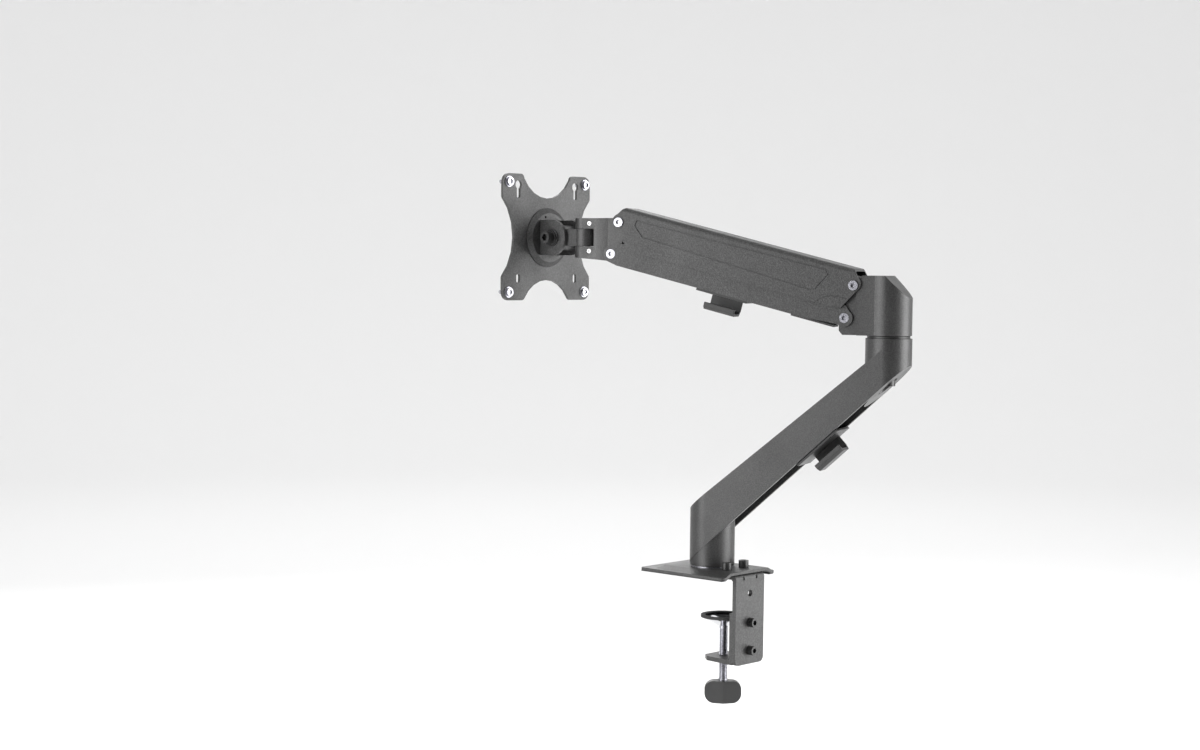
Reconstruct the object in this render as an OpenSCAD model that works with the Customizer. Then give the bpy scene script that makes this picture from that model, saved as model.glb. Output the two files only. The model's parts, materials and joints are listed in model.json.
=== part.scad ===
/* [Pose] */
// Heading of the lower arm, from +X towards +Y, in degrees
lower_yaw = 109.5; // [100:0.5:120]
// Heading of the upper arm, in degrees
upper_yaw = -67.5; // [-75:0.5:-60]
// Lift of the upper arm above level, in degrees
lift = 14; // [0:1:20]

/* [Lower arm] */
// Distance from the mast axis to the elbow axis
lower_reach = 159; // [150:1:170]
// Outer radius of the mast, the elbow boss and the collar
tube_r = 20; // [19.5:0.5:20]
// Height of the mast's lower end above the desk
mast_foot_z = 8.1; // [8:0.1:8.4]
// Height of the seam's underside at the elbow
seam_z = 215.2; // [214:0.2:217]
// Wall of the open channel between mast and elbow
arm_wall = 3.5; // [3:0.5:4]

/* [Upper arm] */
// Distance between the collar pivots and the head pivots
link_reach = 221; // [218:1:224]
// Distance from the elbow axis to the upper collar pivot
pivot_out = 27.45; // [27:0.05:28]
// Height of the upper collar pivot above the desk
pivot_z = 260.6; // [260:0.1:261]
// Outer half width of the upper link's cover
cover_half = 20; // [19.5:0.1:20]
// Sheet of both links
link_sheet = 2; // [1.8:0.1:2]

/* [Head] */
// Distance from the upper head pivot to the swivel axis
swivel_out = 38.2; // [38:0.1:40]
// Height of the head's centre above the desk
head_z = 300.5; // [300:0.1:301]
// Distance from the swivel axis to the tilt axis
tilt_out = 30; // [29:0.5:31]
// Side of the larger screw square of the mounting plate
plate_square = 100; // [100]
// Side of the smaller, slotted square
slot_square = 75; // [75]

/* [Clamp] */
// Half width of the clamp bracket
clamp_half = 20; // [19:0.5:21]
// Outer face of the clamp bracket, behind the mast axis
clamp_back = 44; // [43:0.5:46]
// Underside of the clamp bracket
clamp_bottom = -76.8; // [-78:0.2:-76]
// Clamp screw's distance behind the mast axis
screw_back = 14.4; // [14:0.2:16]
// Top of the pressure pad as drawn
pad_z = -35.8; // [-40:0.2:-32]

/* [Hidden] */
$fn = 72;

fit_gap = 0.05;          // radial running clearance
press_gap = 0.02;        // radial gap of a part that stays put
pivot_r = 3.2;           // pivot screws
pivot_head_r = 4.2;
bush_wall = 1.6;
elbow_x = lower_reach * cos(lower_yaw);
elbow_y = lower_reach * sin(lower_yaw);
link_drop = [8.15, -28.1];               // lower pivots from upper ones, out along the arm and up
low_out = pivot_out + link_drop[0];
low_z = pivot_z + link_drop[1];
low_pivot = [link_drop[0] * cos(lift) + link_drop[1] * sin(lift),
             link_drop[1] * cos(lift) - link_drop[0] * sin(lift)];     // same, in link axes
head_out = pivot_out + link_reach * cos(lift);
head_pivot_z = pivot_z + link_reach * sin(lift);
swivel_r = head_out + swivel_out;
swivel_x = elbow_x + swivel_r * cos(upper_yaw);
swivel_y = elbow_y + swivel_r * sin(upper_yaw);
collar_z = seam_z + 2.5;                 // underside of the collar
collar_top = 269.2;
tongue_half = 15.3;                      // half width of the blocks the links straddle
slot_half = 9.5;                         // half width of the collar's slot
low_half = 17.6;                         // outer half width of the lower link
eye_at = [32, pivot_z - 12];             // pin of the tension nut: out from the elbow axis, height
tension_out = 16.8;                      // tension screw, out from the elbow axis
anchor_at = [192, -6];                   // gas spring's pin in the cover, in link axes
eye_link = [(eye_at[0] - pivot_out) * cos(lift) + (eye_at[1] - pivot_z) * sin(lift),
            (eye_at[1] - pivot_z) * cos(lift) - (eye_at[0] - pivot_out) * sin(lift)];
spring_len = norm(anchor_at - eye_link);
spring_turn = atan2(eye_link[1] - anchor_at[1], eye_link[0] - anchor_at[0]);
disc_back = 45.3;                        // rotation disc, forward of the swivel axis
plate_back = 49.3;
plate_t = 2.5;

function arm_top(a) = 74.6 + 0.829 * a;
function arm_low(a) = 27.2 + 0.92 * a;
arm_slope = atan(0.92);

// frames of reference
module in_arm() rotate([0, 0, lower_yaw]) children();
module in_collar() translate([elbow_x, elbow_y, 0]) rotate([0, 0, upper_yaw]) children();
module in_link() in_collar() translate([pivot_out, 0, pivot_z]) rotate([0, -lift, 0]) children();
module in_spring() in_link()
    translate([anchor_at[0], 0, anchor_at[1]]) rotate([0, -spring_turn, 0]) children();
module in_head() translate([swivel_x, swivel_y, head_z]) rotate([0, 0, -90]) children();

// a side profile drawn in x and z, standing between two distances across the arm
module slab(y0, y1)
    translate([0, y1, 0]) rotate([90, 0, 0]) linear_extrude(height = y1 - y0) children();
module both_sides(y0, y1) {
    slab(y0, y1) children();
    slab(-y1, -y0) children();
}
module cross_rod(x, z, r, y0, y1)
    translate([x, y1, z]) rotate([90, 0, 0]) cylinder(r = r, h = y1 - y0);
module tube(r_out, r_in, h) difference() {
    cylinder(r = r_out, h = h);
    translate([0, 0, -1]) cylinder(r = r_in, h = h + 2);
}
module ring_across(x, z, r_out, r_in, y0, y1) difference() {
    cross_rod(x, z, r_out, y0, y1);
    cross_rod(x, z, r_in, y0 - 1, y1 + 1);
}
// a socket-head screw, head up, its shank below z = 0
module socket_screw(r, length, head_r, head_h) difference() {
    union() {
        translate([0, 0, -length]) cylinder(r = r, h = length + 0.5);
        cylinder(r = head_r, h = head_h);
    }
    translate([0, 0, head_h * 0.45]) cylinder(r = head_r * 0.58, h = head_h, $fn = 6);
}

// ---------- desk clamp ----------
sheet = 2.5;                             // base plate's sheet
rim_z = 1;                               // underside of its rim
raised_z = 4.3;                          // underside of its raised middle
// the raised middle with sloping sides: grown inwards by inset, its two levels at low and high
module plate_rise(inset, low, high, thick) hull() {
    translate([-33.5 + inset, -39 + inset, low]) cube([67 - 2 * inset, 100, thick]);
    translate([-27 + inset, -33 + inset, high]) cube([54 - 2 * inset, 94, thick]);
}
module base_plate() color("#26272a") difference() {
    intersection() {
        union() {
            translate([0, 0, rim_z]) linear_extrude(height = sheet) base_outline();
            plate_rise(0, rim_z, raised_z, sheet);
        }
        linear_extrude(height = 10) base_outline();
    }
    plate_rise(1.7, rim_z - sheet, raised_z - sheet, sheet);
    cylinder(r = 4 + press_gap, h = 10);
    for (x = [-12, 12]) translate([x, 26.5, 0]) cylinder(r = 3.1, h = 10);
}
module base_outline() offset(r = 4) translate([-33.5, -50]) square([67, 89]);
module desk_pad() color("#161616") linear_extrude(height = 1) difference() {
    translate([-36.5, -53]) square([73, 94]);
    translate([-30.5, -36.5]) square([61, 90]);
}
module base_bolts() color("#1c1c1e") for (x = [-12, 12])
    translate([x, 26.5, 6.8]) socket_screw(3, 6.2, 4.5, 6.5);
module mast_post() color("#9a9da1") difference() {
    translate([0, 0, 6.8]) cylinder(r = 14, h = 39);
    translate([0, 0, 6]) cylinder(r = 4 + press_gap, h = 20);
}
module post_screw() color("#9a9da1") {
    translate([0, 0, 0.6]) cylinder(r = 6.5, h = 3.7);
    translate([0, 0, 4]) cylinder(r = 4, h = 20);
}
module thrust_washer() color("#c9ccd0") translate([0, 0, 6.8]) tube(19.4, 14 + press_gap, 1);
jaw_bolt_z = [-39.4, -64.5];
// a hole through the back of the clamp, of some depth from its outer face
module back_hole(z, r, depth)
    translate([0, clamp_back + 1, z]) rotate([90, 0, 0]) cylinder(r = r, h = depth);
module clamp_bracket() color("#2b2c2f") difference() {
    union() {
        translate([-clamp_half, 14, 0]) cube([2 * clamp_half, clamp_back - 18, 4]);
        translate([-clamp_half, clamp_back - 4, clamp_bottom + 5])
            cube([2 * clamp_half, 4, -clamp_bottom - 5]);
        translate([-clamp_half + 5, clamp_back - 4, clamp_bottom]) cube([2 * clamp_half - 10, 4, 6]);
        for (s = [-1, 1]) translate([s * (clamp_half - 5), clamp_back, clamp_bottom + 5])
            rotate([90, 0, 0]) cylinder(r = 5, h = 4);
        intersection() {
            translate([-clamp_half, clamp_back - 4, 0])
                rotate([0, 90, 0]) cylinder(r = 4, h = 2 * clamp_half);
            translate([-clamp_half, clamp_back - 5, -1]) cube([2 * clamp_half, 6, 6]);
        }
    }
    for (x = [-12, 12]) translate([x, 26.5, -1]) cylinder(r = 3 + press_gap, h = 10);
    for (z = jaw_bolt_z) back_hole(z, 3 + press_gap, 6);
    back_hole(-13.3, 3, 6);
    for (x = [-9, 9]) translate([x - 1, clamp_back - 1.2, -1]) cube([2, 3, 6]);
}
jaw_top = -72.2;
module lower_jaw() color("#2b2c2f") difference() {
    union() {
        translate([-clamp_half + 0.5, clamp_back - 7.5, jaw_top - 4]) cube([2 * clamp_half - 1, 3.5, 46]);
        translate([0, 0, jaw_top - 4]) linear_extrude(height = 4)
            polygon([[-19.5, 37], [19.5, 37], [16.5, 9], [10.5, 2], [-10.5, 2], [-16.5, 9]]);
    }
    translate([0, screw_back, jaw_top - 5]) cylinder(r = 4, h = 8);
    for (z = jaw_bolt_z) back_hole(z, 3 + press_gap, 12);
}
module jaw_bolts() color("#1c1c1e") for (z = jaw_bolt_z)
    translate([0, clamp_back, z]) rotate([-90, 0, 0]) socket_screw(3, 8.5, 4.2, 6);
module at_screw() translate([0, screw_back, 0]) children();
module pressure_cup() color("#d5d8dc") at_screw() difference() {
    translate([0, 0, pad_z]) rotate_extrude() polygon([[0, -9.5], [7, -9.5], [9, -8.2], [18, -3.6],
        [20, -2.4], [20, -1], [18, -1], [17, -2.4], [8.5, -6.6], [0, -7.3]]);
    translate([0, 0, pad_z - 12]) cylinder(r = 3 + fit_gap, h = 20);
}
module cup_ring() color("#17181a") at_screw() difference() {
    translate([0, 0, pad_z - 2.4]) cylinder(r = 20.8, h = 2.4);
    translate([0, 0, pad_z - 3]) cylinder(r = 20.05, h = 2.05);
    translate([0, 0, pad_z - 3]) cylinder(r = 16.8, h = 4);
}
knob_top = -95.8;
module clamp_screw() color("#c4c8cd") at_screw() {
    translate([0, 0, knob_top - 12]) cylinder(r = 4 - fit_gap, h = pad_z - 9.8 - knob_top + 12);
    translate([0, 0, pad_z - 10]) cylinder(r = 3, h = 4);
    translate([0, 0, pad_z - 6.5]) cylinder(r = 4.5, h = 1.5);
}
module clamp_knob() color("#1b1c1e") at_screw() rotate([0, 0, 132.5]) difference() {
    intersection() {
        translate([0, 0, knob_top - 20]) linear_extrude(height = 20)
            polygon([[-16.5, -2.5], [0, -8], [16.5, -2.5], [16.5, 2.5], [0, 8], [-16.5, 2.5]]);
        slab(-10, 10) union() {
            translate([-8, knob_top - 20]) square([16, 20]);
            translate([-16.5, knob_top - 12]) square([33, 4]);
            for (x = [-1, 1], z = [-12, -8]) translate([x * 8.5, knob_top + z]) circle(r = 8);
        }
    }
    translate([0, 0, knob_top - 12]) cylinder(r = 4, h = 20);
}

// ---------- lower arm ----------
arm_roof = 5;                            // thickness over the open channel
arm_proud = 0.4;                         // how far the slanted part stands out past mast and boss
// side view of the slanted part between two distances from the mast, moved up by lift_by
module arm_side(from, to, lift_by) polygon([[from, arm_top(from) + lift_by], [to, arm_top(to) + lift_by],
    [to, arm_low(to) + lift_by], [from, arm_low(from) + lift_by]]);
module lower_arm() color("#303134") in_arm() difference() {
    union() {
        difference() {
            translate([0, 0, mast_foot_z]) cylinder(r = tube_r, h = 110);
            slab(-30, 30) polygon([[-40, arm_top(-40)], [40, arm_top(40)], [40, 200], [-40, 200]]);
        }
        difference() {
            translate([lower_reach, 0, 140]) cylinder(r = tube_r, h = seam_z - 140);
            slab(-30, 30) polygon([[120, arm_low(120)], [190, arm_low(190)], [190, 90], [120, 90]]);
        }
        difference() {
            intersection() {
                slab(-30, 30) arm_side(-40, lower_reach + 40, 0);
                linear_extrude(height = seam_z) hull() for (x = [0, lower_reach])
                    translate([x, 0]) circle(r = tube_r + arm_proud);
            }
            difference() {
                slab(-tube_r + arm_wall, tube_r - arm_wall) arm_side(0, lower_reach, -arm_roof);
                cylinder(r = tube_r - 1, h = 200);
                translate([lower_reach, 0, 0]) cylinder(r = tube_r - 1, h = 300);
            }
        }
    }
    cylinder(r = 16, h = 54);
    translate([lower_reach, 0, 100]) cylinder(r = 8 + press_gap, h = 200);
}
module mast_bush() color("#d8d6cf") translate([0, 0, 8.4]) tube(16 - press_gap, 14 + fit_gap, 37);
module elbow_shaft() color("#9a9da1") translate([elbow_x, elbow_y, 0]) difference() {
    translate([0, 0, 182]) cylinder(r = 8, h = 64);
    translate([0, 0, 181]) cylinder(r = 4 + press_gap, h = 22);
}
module elbow_bolt() color("#1c1c1e") translate([elbow_x, elbow_y, 182])
    mirror([0, 0, 1]) socket_screw(4, 18, 6.5, 8);
module seam_washer() color("#1a1a1c") translate([elbow_x, elbow_y, seam_z]) tube(18.6, 8 + press_gap, 2.2);

// a cable hook: foot on top at z = 0, hook below, open to +y; the cable lies along x
module cable_clip(foot) {
    translate([-24, -foot, -2.3]) cube([48, 2 * foot, 2.3]);
    rotate([90, 0, 90]) translate([0, 0, -14.5]) linear_extrude(height = 29)
        polygon([[-11, -2], [-11, -12], [-8, -17], [8, -17], [11, -14.5], [11, -10.5], [8.6, -10.5],
            [8.6, -13.4], [7, -14.6], [-6.8, -14.6], [-8.6, -11.4], [-8.6, -2]]);
}
clip_a = 101;
module lower_clip() color("#1d1e20") in_arm() translate([clip_a, 0, arm_low(clip_a) - 0.1])
    rotate([0, -arm_slope, 0]) mirror([0, 1, 0]) cable_clip(18.5);
module upper_clip() color("#1d1e20") in_link() translate([114, 0, -38.05]) cable_clip(13);

// ---------- elbow collar ----------
module elbow_collar() color("#303134") in_collar() difference() {
    union() {
        difference() {
            translate([0, 0, collar_z]) cylinder(r = tube_r, h = collar_top - collar_z);
            slab(-30, 30) polygon([[0, collar_top], [-30, collar_top - 30],
                [-30, collar_top + 10], [0, collar_top + 10]]);
        }
        difference() {
            slab(-17.7, 17.7) polygon([[0, collar_z], [24.5, collar_z], [24.5, 245],
                [26, 248], [23, collar_top - 2.5], [20, collar_top], [0, collar_top]]);
            cross_rod(low_out, low_z, 12, -30, 30);
        }
        slab(-tongue_half, tongue_half) union() {
            polygon([[10, collar_z + 0.2], [37.6, collar_z + 0.2], [40.6, collar_z + 3.8], [40.6, 234],
                [35.5, pivot_z], [20, pivot_z + 6], [10, 262]]);
            translate([pivot_out, pivot_z]) circle(r = 8.5);
        }
    }
    translate([0, 0, 200]) cylinder(r = 10, h = 50);
    slab(-slot_half, slot_half) polygon([[12.4, 222], [27, 222], [30, 200],
        [60, 200], [60, 290], [24, 290], [24, 258], [12.4, 258]]);
    cross_rod(pivot_out, pivot_z, pivot_r + bush_wall + press_gap, -30, 30);
    cross_rod(low_out, low_z, pivot_r + bush_wall + press_gap, -30, 30);
    translate([tension_out, 0, 250]) cylinder(r = 3 + fit_gap, h = 30);
    translate([tension_out, 0, 218]) cylinder(r = 2.5 + fit_gap, h = 10);
    translate([tension_out, 0, 264]) cylinder(r = 5.2, h = 10);
}
module elbow_bush() color("#d8d6cf")
    translate([elbow_x, elbow_y, collar_z + 0.1]) tube(10 - press_gap, 8 + fit_gap, 31);
module pivot_bush(x, z) for (s = [-1, 1]) mirror([0, s < 0 ? 1 : 0, 0])
    ring_across(x, z, pivot_r + bush_wall, pivot_r + fit_gap, slot_half, tongue_half);
module collar_bushes() color("#d8d6cf") in_collar() {
    pivot_bush(pivot_out, pivot_z);
    pivot_bush(low_out, low_z);
}
module tension_screw() color("#9a9da1") in_collar() translate([tension_out, 0, 0]) {
    translate([0, 0, 218.5]) cylinder(r = 2.5, h = 4);
    translate([0, 0, 222.3]) cylinder(r = 3, h = 42);
    translate([0, 0, 264.3]) socket_screw(3, 1, 4.8, 4.4);
}
module tension_nut() color("#8d9094") in_collar() {
    difference() {
        union() {
            translate([12.8, -9.2, eye_at[1] - 5]) cube([8.1, 18.4, 10]);
            for (s = [-1, 1]) translate([20.7, s < 0 ? -9.2 : 5.6, eye_at[1] - 5]) cube([14.8, 3.6, 10]);
        }
        translate([tension_out, 0, eye_at[1] - 10]) cylinder(r = 3 + fit_gap, h = 20);
        cross_rod(eye_at[0], eye_at[1], 2.5, -20, 20);
    }
    cross_rod(eye_at[0], eye_at[1], 2.5, -9.2, 9.2);
}

// ---------- upper arm ----------
cover_outline = [[3, 14], [218, 14], [220.4, 12], [226.4, 2.9], [226.4, -2.9], [224, -6],
    [212.5, -16], [204, -21.2], [196, -22.5], [14, -22.5], [6, -21.5], [1, -12.4],
    [-3.9, -4], [-6, -0.5], [-6.1, 3], [-4.4, 6], [0, 10]];
groove_outline = [[203.4, 4.6], [204, 1.2], [195.4, -6.1], [36, -11.9],
    [32.4, -10.6], [24.9, 3.6], [27.4, 6.3]];
top_round = 4.5;
module channel_section(half, top, low, t) difference() {
    union() {
        translate([-half, low]) square([2 * half, top - low - top_round]);
        translate([-half + top_round, low]) square([2 * half - 2 * top_round, top - low]);
        for (s = [-1, 1]) translate([s * (half - top_round), top - top_round]) circle(r = top_round);
    }
    translate([-half + t, low - 1]) square([2 * half - 2 * t, top - low - t + 1 - top_round / 2]);
    translate([-half + top_round, low - 1]) square([2 * half - 2 * top_round, top - low - t + 1]);
    for (s = [-1, 1]) translate([s * (half - top_round), top - top_round]) circle(r = top_round - t);
}
module upper_cover() color("#2e2f32") in_link() difference() {
    intersection() {
        rotate([90, 0, 90]) translate([0, 0, -10]) linear_extrude(height = 250)
            channel_section(cover_half, 14, -30, link_sheet);
        slab(-40, 40) polygon(cover_outline);
    }
    both_sides(cover_half - 0.7, cover_half + 1) difference() {
        offset(r = 1.6) polygon(groove_outline);
        offset(r = 0.4) polygon(groove_outline);
    }
    for (x = [0, link_reach]) cross_rod(x, 0, pivot_r + press_gap, -30, 30);
    for (s = [-1, 1]) mirror([0, s < 0 ? 1 : 0, 0]) intersection() {
        ring_across(9, -37, 25.1, 24.3, cover_half - 0.6, cover_half + 1);
        slab(0, 40) translate([3, -30]) square([40, 30]);
    }
}
// pivot screws on both sides of a pair of pivots, heads outside
module pivot_pair(points, head0, head1) for (p = points, side = [0, 1]) mirror([0, side, 0]) difference() {
    union() {
        cross_rod(p[0], p[1], pivot_r, slot_half + 0.4, head0 + 0.2);
        cross_rod(p[0], p[1], pivot_head_r, head0, head1);
    }
    translate([p[0], head1 - 2.4, p[1]]) rotate([-90, 0, 0]) cylinder(r = 2.2, h = 4, $fn = 6);
}
module upper_pivots() color("#d0d3d6") in_link()
    pivot_pair([[0, 0], [link_reach, 0]], cover_half, cover_half + 1.6);
module spring_anchor() color("#3a3b3e") in_link() difference() {
    union() {
        both_sides(10.5, 13.2) union() {
            translate([anchor_at[0] - 8, anchor_at[1]]) square([16, 12 - anchor_at[1] - 0.1]);
            translate(anchor_at) circle(r = 8);
        }
        translate([anchor_at[0] - 8, -13.2, 9.9]) cube([16, 26.4, 2]);
    }
    cross_rod(anchor_at[0], anchor_at[1], 4 + press_gap, -20, 20);
}
module spring_pin() color("#9a9da1") in_link() cross_rod(anchor_at[0], anchor_at[1], 4, -14, 14);

low_head_pivot = low_pivot + [link_reach, 0];
lower_outline = [low_pivot + [-5, 5], low_pivot + [1, 10.5], [22, -15.5], [200, -15.5],
    low_head_pivot + [-4, 10.5], low_head_pivot + [4.5, 5.4],
    [low_head_pivot[0] + 3, -36], [214, -38], [36, -38], low_pivot + [3, -6.5]];
module lower_link() color("#2e2f32") in_link() difference() {
    union() {
        both_sides(low_half - link_sheet, low_half) union() {
            polygon(lower_outline);
            translate(low_pivot) circle(r = 7.4);
            translate(low_head_pivot) circle(r = 7);
        }
        translate([36, -low_half + 0.5, -38]) cube([178, 2 * low_half - 1, link_sheet]);
    }
    for (p = [low_pivot, low_head_pivot]) {
        cross_rod(p[0], p[1], pivot_r + press_gap, -30, 30);
        cross_rod(p[0], p[1], pivot_head_r + 0.1, low_half - 1, 30);
        cross_rod(p[0], p[1], pivot_head_r + 0.1, -30, -low_half + 1);
    }
}
module lower_pivots() color("#d0d3d6") in_link()
    pivot_pair([low_pivot, low_head_pivot], low_half - 0.95, low_half + 0.2);
module stop_strip() color("#26272a") in_link() difference() {
    translate([10, -8.5, -40.1]) cube([40, 17, 2]);
    translate([16, -2.5, -45]) cube([12, 5, 10]);
}

// ---------- gas spring, drawn along +x from its pin in the cover ----------
tube_end = 118;
module gas_tube() color("#1f2022") in_spring() difference() {
    union() {
        translate([13, 0, 0]) rotate([0, 90, 0]) cylinder(r = 9, h = tube_end - 13);
        cross_rod(0, 0, 7.5, -5, 5);
        translate([0, -5, -4.5]) cube([16, 10, 9]);
    }
    cross_rod(0, 0, 4 + fit_gap, -10, 10);
    translate([20, 0, 0]) rotate([0, 90, 0]) cylinder(r = 7.6, h = tube_end);
}
module gas_gland() color("#8d9094") in_spring() translate([tube_end - 8, 0, 0]) rotate([0, 90, 0])
    tube(7.6 - press_gap, 4 + fit_gap, 7.9);
module gas_rod() color("#c4c8cd") in_spring() difference() {
    union() {
        translate([84, 0, 0]) rotate([0, 90, 0]) cylinder(r = 4, h = spring_len - 84 - 7.5);
        cross_rod(spring_len, 0, 8.7, -4.8, 4.8);
    }
    cross_rod(spring_len, 0, 6.2, -10, 10);
}
module gas_piston() color("#8d9094") in_spring() translate([84, 0, 0]) rotate([0, 90, 0])
    tube(7.6 - fit_gap, 4 + press_gap, 6);

// ---------- head bracket ----------
head_low_out = head_out + link_drop[0];
module head_bracket() color("#2b2c2f") in_collar() difference() {
    intersection() {
        union() {
            slab(-tongue_half, tongue_half) polygon([[head_out - 4, 318], [swivel_r + 20, 318],
                [swivel_r + 20, 283.4], [head_low_out, 279.4],
                [head_low_out - 7, head_pivot_z + link_drop[1]], [head_out - 7.5, head_pivot_z]]);
            cross_rod(head_out, head_pivot_z, 8, -tongue_half, tongue_half);
            cross_rod(head_low_out, head_pivot_z + link_drop[1], 7, -tongue_half, tongue_half);
        }
        translate([0, 0, 270]) linear_extrude(height = 60) union() {
            translate([head_out - 12, -tongue_half]) square([24, 2 * tongue_half]);
            polygon([[head_out + 11, -tongue_half], [swivel_r - 14, -10], [swivel_r, -10], [swivel_r, 10],
                [swivel_r - 14, 10], [head_out + 11, tongue_half]]);
            translate([swivel_r, 0]) circle(r = 10);
        }
    }
    translate([swivel_r - 10.9, -20, head_z - 7.9]) cube([31, 40, 15.8]);
    translate([swivel_r, 0, 270]) cylinder(r = 4 + press_gap, h = 60);
    for (x = [[head_out, head_pivot_z], [head_low_out, head_pivot_z + link_drop[1]]])
        for (s = [-1, 1]) mirror([0, s < 0 ? 1 : 0, 0])
            cross_rod(x[0], x[1], pivot_r + bush_wall + press_gap, slot_half - 0.5, 30);
    for (z = [313.2, 288.4]) cross_rod(swivel_r - 6.4, z, 2 + press_gap, 4, 12);
}
module head_bushes() color("#d8d6cf") in_collar() {
    pivot_bush(head_out, head_pivot_z);
    pivot_bush(head_low_out, head_pivot_z + link_drop[1]);
}
module swivel_pin() color("#9a9da1") in_collar() translate([swivel_r, 0, 283.6]) cylinder(r = 4, h = 34.2);
module grub_screws() color("#6d7074") in_collar() for (z = [313.2, 288.4]) difference() {
    cross_rod(swivel_r - 6.4, z, 2, 4.2, 9.6);
    translate([swivel_r - 6.4, 8.6, z]) rotate([-90, 0, 0]) cylinder(r = 1.1, h = 3, $fn = 6);
}

// ---------- knuckle, tilt bracket and plate, drawn forward of the swivel axis ----------
module knuckle() color("#26272a") in_head() difference() {
    union() {
        translate([0, 0, -7.6]) cylinder(r = 10.3, h = 15.2);
        translate([0, -9.9, -7.5]) cube([tilt_out, 19.8, 15]);
        cross_rod(tilt_out, 0, 11.5, -9.9, 9.9);
    }
    translate([0, 0, -10]) cylinder(r = 5.5, h = 20);
    cross_rod(tilt_out, 0, 4 + fit_gap, -20, 20);
    for (x = [13, 16]) for (s = [-1, 1]) translate([x, s * 9.9 - 0.4, -8]) cube([0.9, 0.8, 16]);
}
module swivel_bush() color("#d8d6cf") in_head()
    translate([0, 0, -7.6]) tube(5.5 - press_gap, 4 + fit_gap, 15.2);
ear_in = 10.3;
ear_out = 13.3;
module tilt_bracket() color("#26272a") in_head() difference() {
    union() {
        both_sides(ear_in, ear_out) intersection() {
            union() {
                translate([tilt_out, 0]) circle(r = 16);
                translate([tilt_out, -16]) square([16, 32]);
            }
            translate([0, -20]) square([disc_back - 0.1, 40]);
        }
        translate([disc_back - 3.1, -ear_out, -16]) cube([3, 2 * ear_out, 32]);
    }
    cross_rod(tilt_out, 0, 4 + press_gap, -20, 20);
    translate([disc_back - 10, 0, 0]) rotate([0, 90, 0]) cylinder(r = 5 + press_gap, h = 20);
    translate([disc_back - 3.2, 0, 0]) rotate([0, 90, 0]) cylinder(r = 8.1, h = 1.6);
}
module tilt_washers() color("#1c1c1e") in_head() {
    ring_across(tilt_out, 0, 8, 4 + press_gap, ear_out, ear_out + 1.4);
    ring_across(tilt_out, 0, 6.6, 4 + press_gap, ear_out + 1.4, ear_out + 3.2);
    ring_across(tilt_out, 0, 8, 4 + press_gap, -ear_out - 1.4, -ear_out);
}
module tilt_bolt() color("#1c1c1e") in_head() translate([tilt_out, ear_out + 3.2, 0])
    rotate([-90, 0, 0]) socket_screw(4, 38, 5.6, 7);
module tilt_nut() color("#1c1c1e") in_head() difference() {
    translate([tilt_out, -ear_out - 1.4, 0]) rotate([90, 0, 0]) cylinder(r = 7.4, h = 6.5, $fn = 6);
    cross_rod(tilt_out, 0, 4 + press_gap, -30, 0);
}
module hub() color("#9a9da1") in_head() rotate([0, 90, 0]) {
    translate([0, 0, disc_back - 3.1]) cylinder(r = 8, h = 1.5);
    translate([0, 0, disc_back - 2]) cylinder(r = 5, h = plate_back + plate_t + 1 - disc_back + 2);
    translate([0, 0, plate_back + plate_t + 0.1]) cylinder(r = 8, h = 1.5);
}
module rotation_disc() color("#232427") in_head() difference() {
    rotate([0, 90, 0]) rotate_extrude() polygon([[5 + fit_gap, disc_back], [22.5, disc_back],
        [27, plate_back - 1], [27, plate_back], [5 + fit_gap, plate_back]]);
    translate([disc_back - 1, 6, 18.6]) rotate([0, 90, 0]) cylinder(r = 1, h = 3);
}
module plate_outline() offset(r = 4, $fn = 24) offset(r = -4, $fn = 24) difference() {
    offset(r = 8, $fn = 24) square(plate_square - 1, center = true);
    for (s = [-1, 1]) translate([s * 95, 0]) circle(r = 52);
    translate([0, 70.6]) circle(r = 34.6);
    translate([0, -72.6]) circle(r = 33.6);
}
// facing along the local x axis: 2D x is across the plate, 2D y is up
module facing(x, t) translate([x, 0, 0]) rotate([90, 0, 90]) linear_extrude(height = t) children();
module mount_plate() color("#2a2b2e") in_head() difference() {
    facing(plate_back, plate_t) plate_outline();
    facing(plate_back - 1, plate_t + 2) {
        for (x = [-1, 1]) for (z = [-1, 1]) translate([x, z] * plate_square / 2) circle(r = 2.25);
        circle(r = 5 + fit_gap);
        for (x = [-1, 1]) translate([x * slot_square / 2, 0]) {
            translate([0, 47.5]) circle(r = 4);
            translate([-2.25, slot_square / 2]) square([4.5, 10]);
            translate([0, slot_square / 2]) circle(r = 2.25);
            translate([-2.25, -slot_square / 2 - 2]) square([4.5, 4]);
            for (s = [-2, 2]) translate([0, -slot_square / 2 + s]) circle(r = 2.25);
        }
    }
}
module plate_screws() color("#d0d3d6") in_head() for (y = [-1, 1]) for (z = [-1, 1])
    translate([plate_back, y * plate_square / 2, z * plate_square / 2]) rotate([0, -90, 0]) {
        cylinder(r = 5, h = 0.8);
        translate([0, 0, 0.7]) socket_screw(2.2, plate_t + 0.7, 3.9, 2.2);
        translate([0, 0, -plate_t - 8]) cylinder(r = 2, h = 8.1);
    }

desk_pad();
base_plate();
base_bolts();
mast_post();
post_screw();
thrust_washer();
clamp_bracket();
lower_jaw();
jaw_bolts();
pressure_cup();
cup_ring();
clamp_screw();
clamp_knob();
lower_arm();
mast_bush();
lower_clip();
elbow_shaft();
elbow_bolt();
seam_washer();
elbow_collar();
elbow_bush();
collar_bushes();
tension_screw();
tension_nut();
upper_cover();
upper_pivots();
spring_anchor();
spring_pin();
lower_link();
lower_pivots();
upper_clip();
stop_strip();
gas_tube();
gas_gland();
gas_rod();
gas_piston();
head_bracket();
head_bushes();
swivel_pin();
grub_screws();
knuckle();
swivel_bush();
tilt_bracket();
tilt_bolt();
tilt_washers();
tilt_nut();
hub();
rotation_disc();
mount_plate();
plate_screws();
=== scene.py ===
import json
import math

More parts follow.
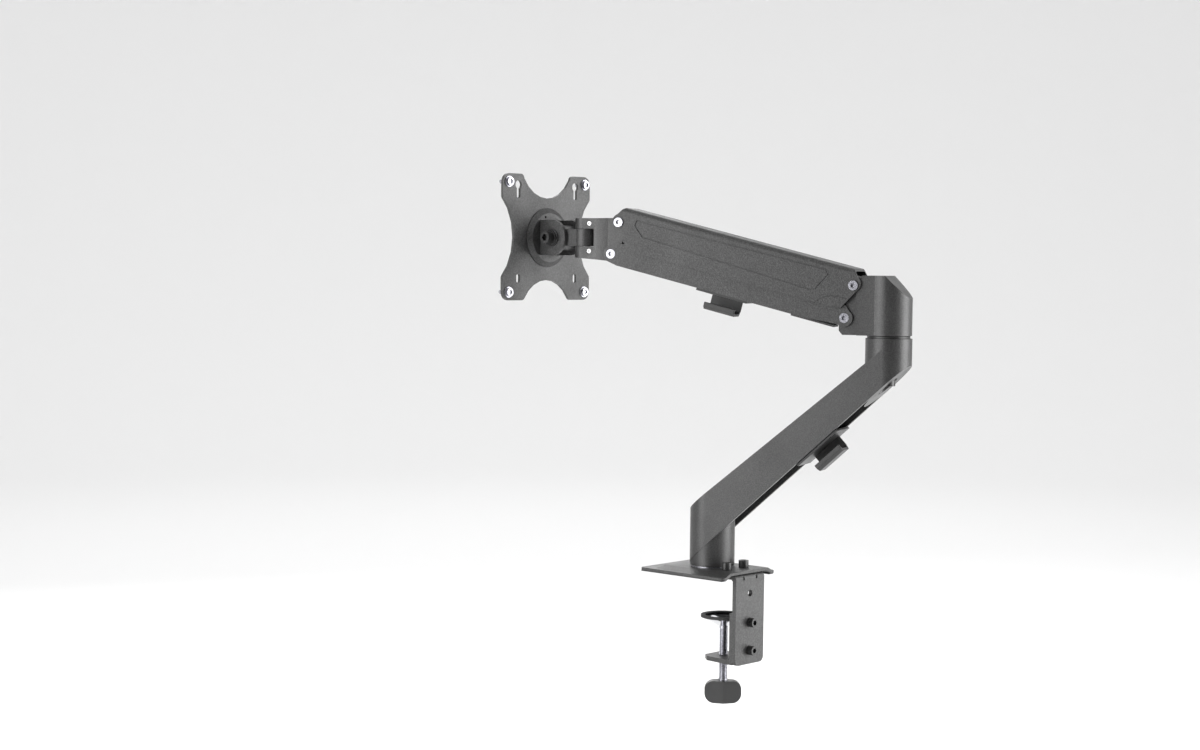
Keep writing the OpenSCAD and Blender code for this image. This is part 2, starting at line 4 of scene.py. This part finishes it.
import bmesh
import bpy
from mathutils import Matrix, Vector


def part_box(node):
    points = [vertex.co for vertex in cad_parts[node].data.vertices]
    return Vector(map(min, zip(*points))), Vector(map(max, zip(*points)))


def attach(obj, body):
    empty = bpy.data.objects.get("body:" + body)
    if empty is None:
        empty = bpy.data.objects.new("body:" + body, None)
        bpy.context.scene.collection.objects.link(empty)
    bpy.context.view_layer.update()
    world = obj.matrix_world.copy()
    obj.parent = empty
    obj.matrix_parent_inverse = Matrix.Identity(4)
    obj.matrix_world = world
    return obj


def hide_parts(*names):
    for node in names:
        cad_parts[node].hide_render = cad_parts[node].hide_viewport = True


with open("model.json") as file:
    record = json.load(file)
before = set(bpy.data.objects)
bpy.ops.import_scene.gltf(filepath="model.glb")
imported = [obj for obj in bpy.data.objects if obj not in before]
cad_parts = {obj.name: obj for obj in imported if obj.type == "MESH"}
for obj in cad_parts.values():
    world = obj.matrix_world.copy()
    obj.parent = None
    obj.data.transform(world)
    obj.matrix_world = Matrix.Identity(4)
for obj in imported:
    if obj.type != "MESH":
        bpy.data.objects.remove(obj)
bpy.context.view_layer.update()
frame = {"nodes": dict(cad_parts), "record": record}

MM = 0.001


# ---------- shared helpers ----------
def link(obj):
    bpy.context.scene.collection.objects.link(obj)


def mesh_object(name, edit, material):
    """Turns an edit mesh into an object in the scene, with one material."""
    mesh = bpy.data.meshes.new(name)
    edit.to_mesh(mesh)
    edit.free()
    mesh.materials.append(material)
    obj = bpy.data.objects.new(name, mesh)
    link(obj)
    return obj


def on_circle(radius, turn):
    """A point in plan at this radius, turn being its share of a full circle from +X towards +Y."""
    angle = 2 * math.pi * turn
    return radius * math.cos(angle), radius * math.sin(angle)


def around(azimuth, distance, height):
    """A place round the object, its azimuth in degrees from +X towards +Y."""
    return *on_circle(distance, azimuth / 360), height


def skin_rings(edit, rings, steps):
    """Joins each ring of corners to the next with smooth faces. A ring of one corner closes an end."""
    for low, high in zip(rings, rings[1:]):
        for i in range(steps):
            j = (i + 1) % steps
            corners = [low[i % len(low)], low[j % len(low)], high[j % len(high)], high[i % len(high)]]
            edit.faces.new(list(dict.fromkeys(corners))).smooth = True


# ---------- camera ----------
# The camera stands behind the desk, on the clamp's side, and looks past the elbow at the screen plate's back.
CAMERA_PLACE = Vector((1.4462, 1.1866, 0.2766))
CAMERA_YAW = math.radians(132.51)
CAMERA_DOWN = math.radians(4.25)
CAMERA_ROLL = math.radians(0.59)
SENSOR = 36
LENS = 62.64
SHIFT_UP = 0.037
NEAR, FAR = 0.05, 60


def make_camera():
    forward = Vector((-math.sin(CAMERA_YAW) * math.cos(CAMERA_DOWN),
                      math.cos(CAMERA_YAW) * math.cos(CAMERA_DOWN),
                      -math.sin(CAMERA_DOWN)))
    right = forward.cross(Vector((0, 0, 1))).normalized()
    up = right.cross(forward)
    turned_right = right * math.cos(CAMERA_ROLL) + up * math.sin(CAMERA_ROLL)
    turned_up = up * math.cos(CAMERA_ROLL) - right * math.sin(CAMERA_ROLL)
    place = Matrix((turned_right, turned_up, -forward)).transposed().to_4x4()
    place.translation = CAMERA_PLACE

    data = bpy.data.cameras.new("camera")
    data.sensor_width = SENSOR
    data.lens = LENS
    data.shift_y = SHIFT_UP
    data.clip_start = NEAR
    data.clip_end = FAR
    camera = bpy.data.objects.new("camera", data)
    link(camera)
    camera.matrix_world = place
    bpy.context.scene.camera = camera


# ---------- materials ----------
# Noise scales are per metre and bump depths are in metres.
PEBBLES_PER_GRAIN = 0.8
PLASTIC_GRAIN, PLASTIC_DEPTH = 2600, 0.00004
MARK_SCALE, MARK_DEPTH = 420, 0.00005


def grey(value, blue=0.0):
    return (value, value, value * (1 + blue))


def new_material(name):
    material = bpy.data.materials.new(name)
    material.use_nodes = True
    tree = material.node_tree
    return material, tree, tree.nodes["Principled BSDF"]


def matt_material(name, colour, specular=0.5):
    """A plain matt surface, for the stage only."""
    material, _, shader = new_material(name)
    shader.inputs["Base Color"].default_value = (*colour, 1)
    shader.inputs["Roughness"].default_value = 0.9
    shader.inputs["Specular IOR Level"].default_value = specular
    return material


def object_coords(tree):
    return tree.nodes.new("ShaderNodeTexCoord").outputs["Object"]


def noise(tree, scale, detail=3.0, roughness=0.5, coords=None):
    node = tree.nodes.new("ShaderNodeTexNoise")
    node.inputs["Scale"].default_value = scale
    node.inputs["Detail"].default_value = detail
    node.inputs["Roughness"].default_value = roughness
    tree.links.new(coords or object_coords(tree), node.inputs["Vector"])
    return node.outputs["Fac"]


def ramp(tree, value, low, high, start=0.35, end=0.65):
    """Takes value from its start and end, the middle of a noise's span, to low and high."""
    node = tree.nodes.new("ShaderNodeMapRange")
    node.inputs["From Min"].default_value = start
    node.inputs["From Max"].default_value = end
    node.inputs["To Min"].default_value = low
    node.inputs["To Max"].default_value = high
    tree.links.new(value, node.inputs["Value"])
    return node.outputs["Result"]


def colour_between(tree, value, first, second):
    node = tree.nodes.new("ShaderNodeMix")
    node.data_type = "RGBA"
    node.inputs["A"].default_value = (*first, 1)
    node.inputs["B"].default_value = (*second, 1)
    tree.links.new(value, node.inputs["Factor"])
    return node.outputs["Result"]


def bump(tree, shader, heights):
    """Chains bumps: heights is a list of (height socket, strength, depth)."""
    last = None
    for value, strength, depth in heights:
        node = tree.nodes.new("ShaderNodeBump")
        node.inputs["Strength"].default_value = strength
        node.inputs["Distance"].default_value = depth
        tree.links.new(value, node.inputs["Height"])
        if last is not None:
            tree.links.new(last, node.inputs["Normal"])
        last = node.outputs["Normal"]
    tree.links.new(last, shader.inputs["Normal"])


def textured_black(name, dark, light, rough, grain, depth):
    """Powder coat or painted casting: fine pebbled grain, lighter specks and slow changes of gloss."""
    material, tree, shader = new_material(name)
    fine = noise(tree, grain, detail=2.0, roughness=0.6)
    pebbles = tree.nodes.new("ShaderNodeTexVoronoi")
    pebbles.inputs["Scale"].default_value = grain * PEBBLES_PER_GRAIN
    tree.links.new(object_coords(tree), pebbles.inputs["Vector"])
    slow = noise(tree, scale=26, detail=4.0)
    specks = ramp(tree, fine, 0.0, 1.0, start=0.38, end=0.68)
    tree.links.new(colour_between(tree, specks, dark, light), shader.inputs["Base Color"])
    tree.links.new(ramp(tree, slow, rough - 0.05, rough + 0.06), shader.inputs["Roughness"])
    bump(tree, shader, [(fine, 0.55, depth), (pebbles.outputs["Distance"], 0.35, depth)])
    shader.inputs["Specular IOR Level"].default_value = 0.5
    return material


def moulded_plastic(name, dark, light, rough):
    """Plastic, rubber or an oxide finish: a faint fine grain, with tone and gloss that drift together."""
    material, tree, shader = new_material(name)
    fine = noise(tree, PLASTIC_GRAIN, detail=2.0)
    slow = noise(tree, scale=40)
    tree.links.new(colour_between(tree, ramp(tree, slow, 0, 1), dark, light), shader.inputs["Base Color"])
    tree.links.new(ramp(tree, slow, rough - 0.04, rough + 0.05), shader.inputs["Roughness"])
    bump(tree, shader, [(fine, 0.25, PLASTIC_DEPTH)])
    return material


def bare_metal(name, dark, light, rough, scratch, squeeze=(1, 1, 14)):
    """Zinc, steel or chrome: fine marks drawn out across the squeezed axis, and a slow change of tone."""
    material, tree, shader = new_material(name)
    mapping = tree.nodes.new("ShaderNodeMapping")
    mapping.inputs["Scale"].default_value = squeeze
    tree.links.new(object_coords(tree), mapping.inputs["Vector"])
    marks = noise(tree, MARK_SCALE, roughness=0.6, coords=mapping.outputs["Vector"])
    slow = noise(tree, scale=60)
    tone = colour_between(tree, ramp(tree, slow, 0, 1), dark, light)
    tree.links.new(tone, shader.inputs["Base Color"])
    tree.links.new(ramp(tree, marks, rough * 0.75, rough * 1.3), shader.inputs["Roughness"])
    shader.inputs["Metallic"].default_value = 1.0
    bump(tree, shader, [(marks, scratch, MARK_DEPTH)])
    return material


def make_materials():
    """One material for each material slot of the record."""
    return {
        "black_powder_coat": textured_black(
            "black_powder_coat", grey(0.012), grey(0.05), rough=0.43, grain=900, depth=0.00022),
        "cast_black": textured_black(
            "cast_black", grey(0.013), grey(0.042), rough=0.38, grain=1100, depth=0.00014),
        "black_plastic": moulded_plastic("black_plastic", grey(0.012), grey(0.018), rough=0.42),
        "black_oxide": moulded_plastic("black_oxide", grey(0.009), grey(0.016), rough=0.3),
        "zinc": bare_metal("zinc", grey(0.3, 0.1), grey(0.42, 0.08), rough=0.3, scratch=0.35),
        "chrome": bare_metal(
            "chrome", grey(0.46, 0.03), grey(0.56, 0.03), rough=0.08, scratch=0.08, squeeze=(1, 1, 1)),
        "steel": bare_metal("steel", grey(0.4), grey(0.52), rough=0.3, scratch=0.3, squeeze=(1, 1, 8)),
        "bush_plastic": moulded_plastic("bush_plastic", (0.55, 0.53, 0.47), (0.66, 0.64, 0.58), rough=0.4),
        "pad_rubber": moulded_plastic("pad_rubber", grey(0.012), grey(0.02), rough=0.7),
    }


# ---------- CAD nodes: materials, rounded edges ----------
# Edge rounding in millimetres. A node that isn't named gets EDGE.
EDGE = 0.3
EDGES = {
    "base_plate": 1.2, "clamp_bracket": 0.5, "lower_jaw": 0.5, "desk_pad": 0.2, "clamp_knob": 1.4,
    "lower_arm": 0.7, "elbow_collar": 0.9, "upper_cover": 0.35, "lower_link": 0.35,
    "lower_clip": 0.45, "upper_clip": 0.45,
    "head_bracket": 0.8, "knuckle": 0.6, "tilt_bracket": 0.5, "rotation_disc": 0.4, "mount_plate": 0.4,
    "thrust_washer": 0.15, "mast_bush": 0.15, "elbow_bush": 0.15, "swivel_bush": 0.15,
    "collar_bushes": 0.15, "head_bushes": 0.15,
    "upper_pivots": 0.25, "lower_pivots": 0.2, "grub_screws": 0.12,
}
WELD_GAP = 0.000004
FLAT_ANGLE = math.radians(0.6)
SHARP_ANGLE = math.radians(32)


def round_edges(obj, width):
    """Joins split corners, clears the lines across flats, rounds sharp edges, and shades flats evenly."""
    weld = obj.modifiers.new("join", "WELD")
    weld.merge_threshold = WELD_GAP
    flats = obj.modifiers.new("flats", "DECIMATE")
    flats.decimate_type = "DISSOLVE"
    flats.angle_limit = FLAT_ANGLE
    bevel = obj.modifiers.new("edges", "BEVEL")
    bevel.width = width * MM
    bevel.segments = 3
    bevel.limit_method = "ANGLE"
    bevel.angle_limit = SHARP_ANGLE
    bevel.miter_outer = "MITER_ARC"
    bevel.use_clamp_overlap = True
    normals = obj.modifiers.new("normals", "WEIGHTED_NORMAL")
    normals.mode = "FACE_AREA"
    normals.weight = 100
    normals.keep_sharp = False


def dress_nodes(materials):
    slots = {row["node"]: row["material_slot"] for row in frame["record"]["subparts"]}
    for name, obj in frame["nodes"].items():
        obj.data.materials.clear()
        obj.data.materials.append(materials[slots[name]])
        for polygon in obj.data.polygons:
            polygon.use_smooth = True
        round_edges(obj, EDGES.get(name, EDGE))


# ---------- the clamp's threaded rod, in millimetres ----------
PITCH = 1.25
ROD_R = 3.95
THREAD_DEPTH = 0.62
FLANK_SLOPE = 2.6
CREST_SHARE = 0.2
ROWS_PER_PITCH = 8
ROD_STEPS = 40
KNOB_DEPTH = 11.8
START_ABOVE_FOOT = 13.3
END_BELOW_TIP = 6.7


def thread_radius(z, turn, start, end):
    """Radius of a rolled M8 thread: a rounded groove that climbs one pitch a turn and fades at its ends."""
    phase = (z / PITCH - turn) % 1.0
    groove = min(1.0, max(0.0, abs(phase - 0.5) * FLANK_SLOPE - CREST_SHARE))
    fade = min(1.0, max(0.0, (z - start) / PITCH), max(0.0, (end - z) / PITCH))
    return ROD_R - THREAD_DEPTH * groove * fade


def make_clamp_rod(materials):
    """The clamp's zinc rod: a foot down in the knob, the thread, and the neck riveted into the cup."""
    low, high = (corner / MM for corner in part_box("clamp_screw"))
    axis_y = (low.y + high.y) / 2
    foot, tip = low.z, high.z
    start, end = foot + START_ABOVE_FOOT, tip - END_BELOW_TIP
    rows = round((end - start) / PITCH * ROWS_PER_PITCH)

    # (height, radius) of each ring, with no radius where the thread gives it
    plain = [(foot, 0), (foot, ROD_R), (foot + KNOB_DEPTH, ROD_R)]
    threaded = [(start + (end - start) * row / rows, None) for row in range(rows + 1)]
    neck = [(tip - 5.3, ROD_R), (tip - 4.85, ROD_R - 0.4), (tip - 4.82, 2.98), (tip - 1.5, 2.98)]
    rivet = [(tip - 1.48, 4.3), (tip - 0.7, 4.45), (tip - 0.3, 3.9), (tip - 0.05, 2.4), (tip, 0)]

    edit = bmesh.new()
    rings = []
    for z, radius in plain + threaded + neck + rivet:
        steps = 1 if radius == 0 else ROD_STEPS
        ring = []
        for i in range(steps):
            turn = i / steps
            r = thread_radius(z, turn, start, end) if radius is None else radius
            x, y = on_circle(r, turn)
            ring.append(edit.verts.new((x * MM, (axis_y + y) * MM, z * MM)))
        rings.append(ring)
    skin_rings(edit, rings, ROD_STEPS)
    rod = mesh_object("clamp_rod_thread", edit, materials["zinc"])
    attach(rod, "clamp_screw_body")
    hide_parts("clamp_screw")


# ---------- stage ----------
FLOOR_Z = -0.42
CARD_Z = 0.3


def make_sweep():
    """A round pale sweep: a flat floor well below the clamp, its rim curving up all round."""
    hub_r, flat_r, curve_r, top = 0.001, 5.0, 3.0, 7.0
    arc_steps, steps = 15, 96
    profile = [(hub_r, 0), (flat_r, 0)]
    for i in range(1, arc_steps + 1):
        angle = math.pi / 2 * i / arc_steps
        profile.append((flat_r + curve_r * math.sin(angle), curve_r * (1 - math.cos(angle))))
    profile.append((flat_r + curve_r, top))
    edit = bmesh.new()
    rings = [[edit.verts.new((*on_circle(radius, i / steps), FLOOR_Z + height)) for i in range(steps)]
             for radius, height in profile]
    skin_rings(edit, rings, steps)
    mesh_object("stage_sweep", edit, matt_material("stage_pale", grey(0.86), specular=0.1))


def make_flag():
    """A dark curved card behind the camera: reflected in tubes and flats, it gives them a dark core."""
    spread, height, radius, steps = 80, 2.2, 2.6, 16
    middle = math.degrees(math.atan2(CAMERA_PLACE.y, CAMERA_PLACE.x))
    edges = (CARD_Z - height / 2, CARD_Z + height / 2)
    edit = bmesh.new()
    columns = [[edit.verts.new(around(middle - spread / 2 + spread * i / steps, radius, z)) for z in edges]
               for i in range(steps + 1)]
    for first, second in zip(columns, columns[1:]):
        edit.faces.new((first[0], second[0], second[1], first[1]))
    card = mesh_object("flag", edit, matt_material("flag_dark", grey(0.03)))
    card.visible_camera = False


# ---------- light ----------
ROOM_LIGHT = 0.9
MIDDLE = (0, 0, 0.15)


def area_light(name, place, size, power, target=MIDDLE):
    """A soft box that the camera doesn't see, turned to its target."""
    data = bpy.data.lights.new(name, "AREA")
    data.shape = "RECTANGLE"
    data.size, data.size_y = size
    data.energy = power
    light = bpy.data.objects.new(name, data)
    light.location = place
    light.rotation_euler = (Vector(target) - Vector(place)).to_track_quat("-Z", "Y").to_euler()
    light.visible_camera = False
    link(light)


def make_lights():
    world = bpy.data.worlds.new("studio")
    world.use_nodes = True
    room = world.node_tree.nodes["Background"]
    room.inputs["Color"].default_value = (1, 1, 1, 1)
    room.inputs["Strength"].default_value = ROOM_LIGHT
    bpy.context.scene.world = world
    area_light("left_box", around(-14, 2.0, 0.55), size=(1.5, 1.9), power=44)
    area_light("right_box", around(122, 2.0, 0.5), size=(1.5, 1.9), power=58)
    area_light("front_box", around(240, 2.2, 1.1), size=(1.6, 1.4), power=20)
    area_light("floor_wash", (-2.4, -2.2, 2.6), size=(3.0, 3.0), power=34, target=(-2.8, -2.6, -0.4))
    bpy.context.scene.view_settings.view_transform = "Standard"


make_camera()
materials = make_materials()
dress_nodes(materials)
make_clamp_rod(materials)
make_sweep()
make_flag()
make_lights()
